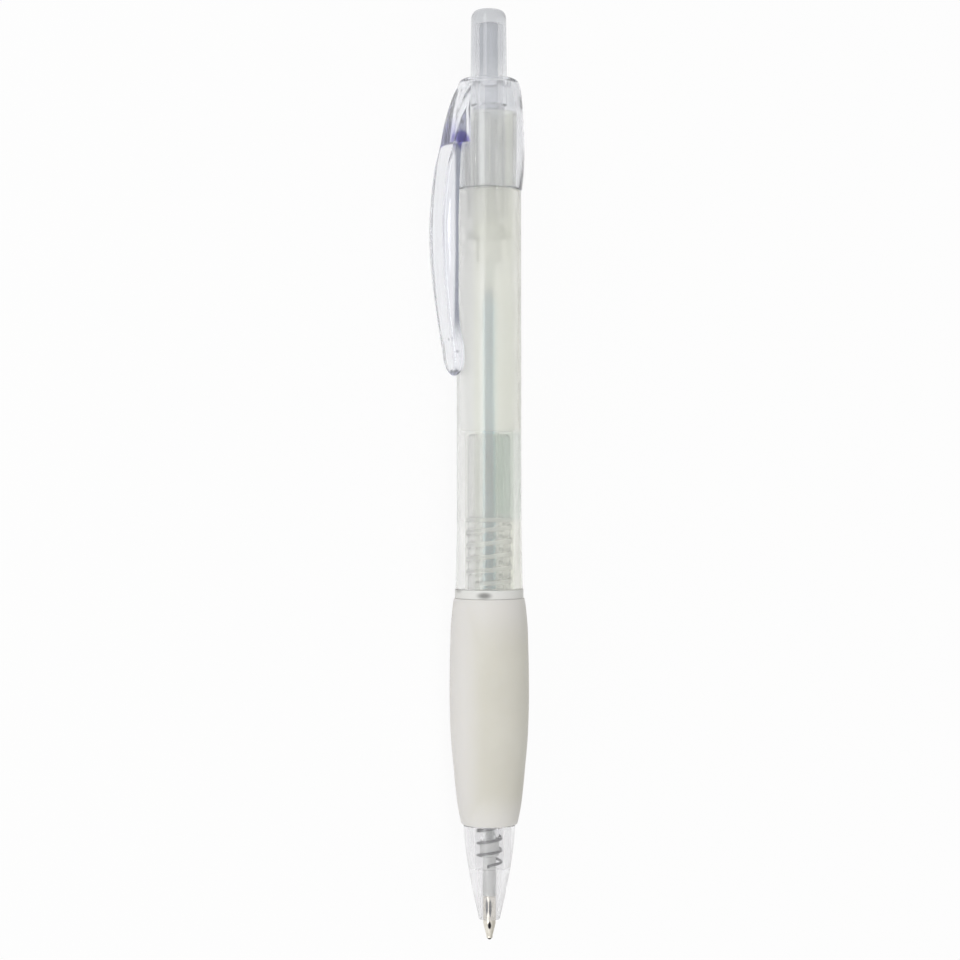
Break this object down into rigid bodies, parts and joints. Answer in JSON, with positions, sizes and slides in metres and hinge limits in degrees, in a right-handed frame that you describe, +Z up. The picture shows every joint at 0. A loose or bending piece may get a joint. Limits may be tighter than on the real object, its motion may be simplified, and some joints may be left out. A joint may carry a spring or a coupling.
{
  "type": "retractable ballpoint pen",
  "caption": "Retractable ballpoint pen with a clear cap and clip, a frosted barrel, a soft grip sleeve and a clear nose over a sprung refill.",
  "frame": {"origin": "on the table, under the middle of the pen's bounding box; the pen lies on its grip and on the outer edge of its clip", "axes": "+X runs along the pen from the push button to the writing tip; the pen's own axis is parallel to X, at Y 1.75 mm and Z 5.98 mm; +Z is up; the clip is on the -Y side, 23 degrees below the horizontal"},
  "size_m": [0.1398, 0.0154, 0.0119],
  "materials": {
    "frosted_plastic": "translucent frosted plastic, smooth satin outside",
    "cap_plastic": "clear polished plastic with a faint blue-violet tint",
    "clear_plastic": "clear polished plastic",
    "white_plastic": "natural white moulded plastic",
    "tube_plastic": "translucent natural plastic tube",
    "blue_ink": "thick blue ink paste",
    "grip_rubber": "soft matt off-white rubber",
    "point_metal": "turned nickel silver",
    "ball_metal": "dark carbide, wet with ink",
    "spring_steel": "drawn spring wire"
  },
  "bodies": {
    "barrel": {"upper_barrel": "frosted_plastic", "clip_cap": "cap_plastic"},
    "front": {"front_section": "clear_plastic", "grip_sleeve": "grip_rubber", "spring": "spring_steel"},
    "button": {"push_button": "clear_plastic"},
    "rotor": {"ratchet_rotor": "white_plastic"},
    "refill": {"refill_tube": "tube_plastic", "ink_column": "blue_ink", "point_adapter": "white_plastic", "point_housing": "point_metal"},
    "ball": {"writing_ball": "ball_metal"}
  },
  "joints": [
    {"name": "button_slide", "type": "slide", "parent": "barrel", "child": "button", "axis": [-1, 0, 0], "range_m": [-0.0012, 0.0055]},
    {"name": "front_unscrew", "type": "slide", "parent": "barrel", "child": "front", "axis": [1, 0, 0], "range_m": [0, 0.0265]},
    {"name": "refill_slide", "type": "slide", "parent": "front", "child": "refill", "axis": [-1, 0, 0], "range_m": [-0.0012, 0.0055], "deforming": ["spring"]},
    {"name": "rotor_turn", "type": "hinge", "parent": "button", "child": "rotor", "pos_m": [-0.034, 0.00175, 0.00598], "axis": [1, 0, 0], "continuous": true},
    {"name": "ball_roll", "type": "hinge", "parent": "refill", "child": "ball", "pos_m": [0.06955, 0.00175, 0.00598], "axis": [0, 1, 0], "continuous": true}
  ],
  "couplings": [
    {"joint": "refill_slide", "follows": "button_slide", "ratio": 1}
  ]
}
